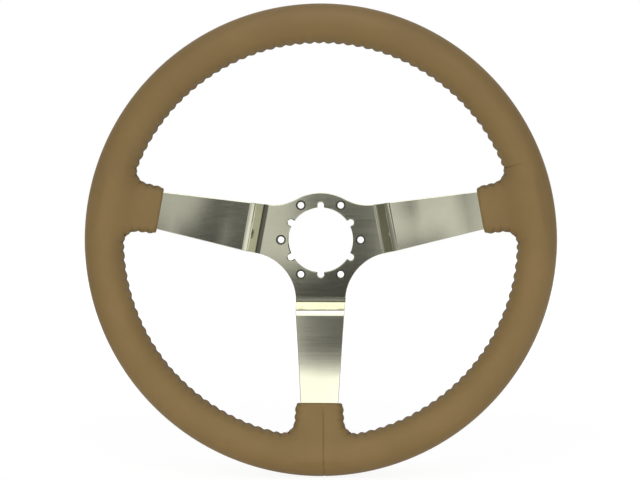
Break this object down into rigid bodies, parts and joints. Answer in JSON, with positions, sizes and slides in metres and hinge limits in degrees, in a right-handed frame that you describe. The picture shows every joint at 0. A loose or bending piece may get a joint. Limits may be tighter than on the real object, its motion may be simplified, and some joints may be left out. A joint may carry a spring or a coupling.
{
  "type": "car steering wheel",
  "caption": "Dished car steering wheel: bent brushed-steel spokes with a drilled, notched hub and a tan leather rim laced along its inside.",
  "frame": {"origin": "centre of the hub's rear face, on the wheel's axis", "axes": "+Y along the wheel's axis to the rear, towards the steering column; -Y to the driver; +Z to the top of the rim"},
  "size_m": [0.381, 0.0517, 0.381],
  "materials": {
    "brushed_metal": "brushed along the spokes",
    "core_steel": "plain steel rod",
    "grip_foam": "moulded foam skin",
    "tan_leather": "smooth, matt",
    "lacing_thread": "waxed thread"
  },
  "bodies": {
    "root": {"spoke_plate": "brushed_metal", "rim_core_ring": "core_steel", "rim_foam": "grip_foam", "leather_cover": "tan_leather", "stitching_top": "lacing_thread", "stitching_left": "lacing_thread", "stitching_right": "lacing_thread"}
  },
  "joints": []
}
